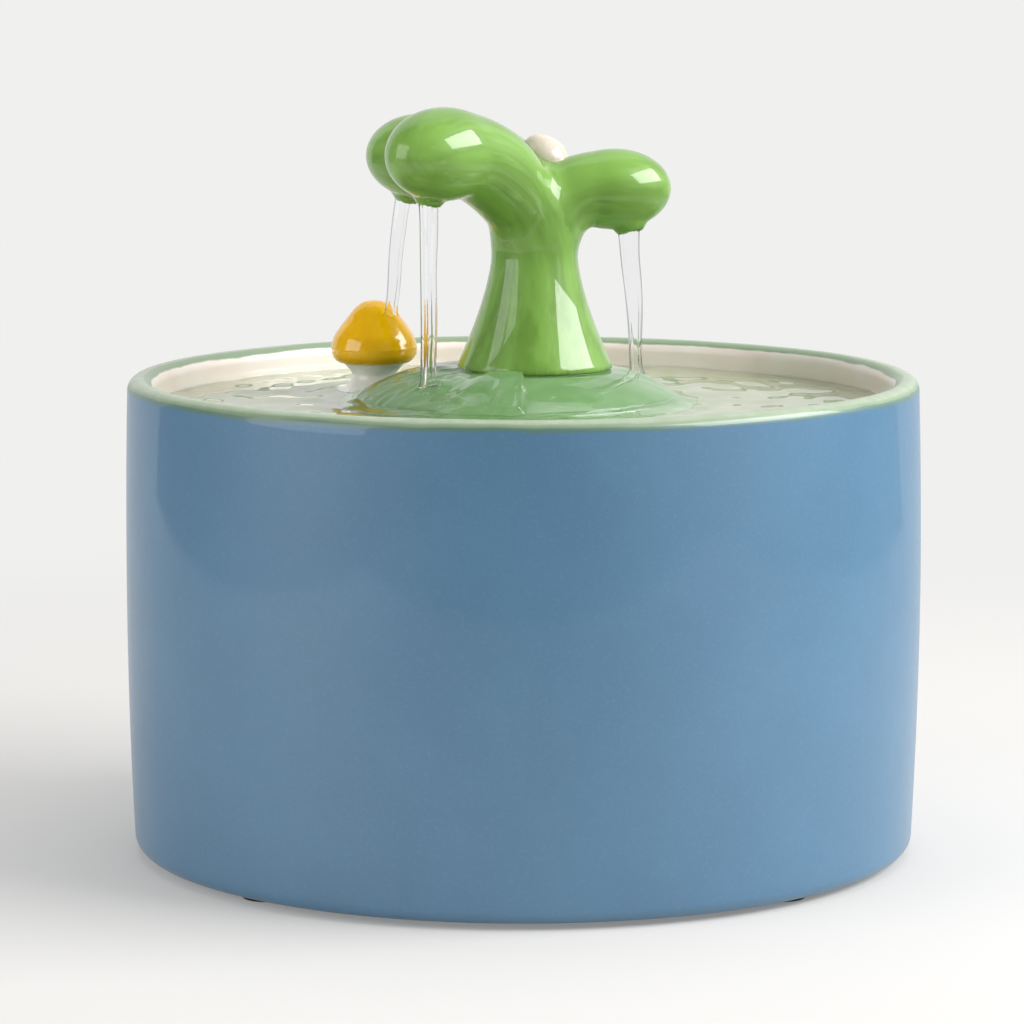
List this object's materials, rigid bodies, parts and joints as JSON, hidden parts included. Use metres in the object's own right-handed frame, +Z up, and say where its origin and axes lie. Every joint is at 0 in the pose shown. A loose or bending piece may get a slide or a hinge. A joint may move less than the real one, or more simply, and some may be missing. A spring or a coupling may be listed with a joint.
{
  "type": "pet water fountain",
  "caption": "Round ceramic pet water fountain: a basin with a lift-out tray and dome, on which a branched spout pours circulating water past a small mushroom.",
  "frame": {"origin": "centre of the circle of rubber feet, on the table", "axes": "+Z up along the basin's axis, -Y towards the front, +X to the right seen from the front"},
  "size_m": [0.2014, 0.2014, 0.1905],
  "materials": {
    "basin": "blue gloss glaze, cream-white glaze inside, thin green lip",
    "foot_rubber": "soft matte rubber",
    "gland_rubber": "moulded silicone rubber",
    "tray_ceramic": "white gloss glaze",
    "dome_ceramic": "pale green gloss glaze",
    "white_plastic": "moulded ABS, gloss",
    "sprout_ceramic": "leaf green gloss glaze with faint streaks",
    "bud_ceramic": "white gloss glaze",
    "stem_ceramic": "off-white gloss glaze",
    "cap_ceramic": "yellow-orange gloss glaze",
    "clear_plastic": "translucent moulded plastic",
    "cotton": "non-woven filter cotton",
    "carbon": "granular activated carbon",
    "pump_plastic": "black moulded ABS",
    "steel": "stainless steel",
    "foam": "open-cell sponge",
    "dial_plastic": "blue moulded ABS",
    "shaft_ceramic": "ground ceramic rod",
    "magnet": "sintered ferrite",
    "copper": "enamelled copper wire",
    "board": "glass-fibre board",
    "potting": "cast epoxy"
  },
  "bodies": {
    "basin": {"basin": "basin", "foot_pads": "foot_rubber", "cable_gland": "gland_rubber", "filter_housing": "white_plastic", "suction_cups": "foot_rubber", "pump_housing": "pump_plastic", "pump_potting": "potting", "stator_core": "steel", "stator_coils": "copper", "circuit_board": "board", "shaft_bushes": "foot_rubber", "volute_cover": "pump_plastic", "volute_gasket": "foot_rubber", "pump_screws": "steel", "strainer": "pump_plastic", "foam_block": "foam", "riser_tube": "white_plastic"},
    "cartridge": {"filter_cartridge": "clear_plastic", "cotton_pads": "cotton", "carbon_bed": "carbon"},
    "filter_lid": {"filter_lid": "white_plastic"},
    "tray": {"tray": "tray_ceramic", "tray_bumpers": "gland_rubber"},
    "dome": {"dome": "dome_ceramic"},
    "sprout_seat": {"sprout_plug": "white_plastic", "sprout_seal": "gland_rubber"},
    "sprout": {"sprout": "sprout_ceramic", "bud": "bud_ceramic"},
    "mushroom": {"mushroom_stem": "stem_ceramic", "mushroom_cap": "cap_ceramic"},
    "impeller": {"impeller": "white_plastic", "rotor_magnet": "magnet", "impeller_shaft": "shaft_ceramic"},
    "flow_dial": {"flow_dial": "dial_plastic"}
  },
  "joints": [
    {"name": "cartridge_lift", "type": "slide", "parent": "basin", "child": "cartridge", "axis": [0, 0, 1], "range_m": [0, 0.008]},
    {"name": "filter_lid_lift", "type": "slide", "parent": "cartridge", "child": "filter_lid", "axis": [0, 0, 1], "range_m": [0, 0.008]},
    {"name": "tray_lift", "type": "slide", "parent": "basin", "child": "tray", "axis": [0, 0, 1], "range_m": [0, 0.07]},
    {"name": "dome_lift", "type": "slide", "parent": "tray", "child": "dome", "axis": [0, 0, 1], "range_m": [0, 0.03]},
    {"name": "sprout_turn", "type": "hinge", "parent": "dome", "child": "sprout_seat", "pos_m": [0.0028, 0, 0.122], "axis": [0, 0, 1], "continuous": true},
    {"name": "sprout_lift", "type": "slide", "parent": "sprout_seat", "child": "sprout", "axis": [0, 0, 1], "range_m": [0, 0.04]},
    {"name": "mushroom_lift", "type": "slide", "parent": "dome", "child": "mushroom", "axis": [0, 0, 1], "range_m": [0, 0.018]},
    {"name": "impeller_spin", "type": "hinge", "parent": "basin", "child": "impeller", "pos_m": [-0.0032, 0, 0.0292], "axis": [0, 1, 0], "continuous": true},
    {"name": "flow_dial_turn", "type": "hinge", "parent": "basin", "child": "flow_dial", "pos_m": [-0.0032, -0.018, 0.0292], "axis": [0, 1, 0], "range_deg": [0, 60]}
  ]
}
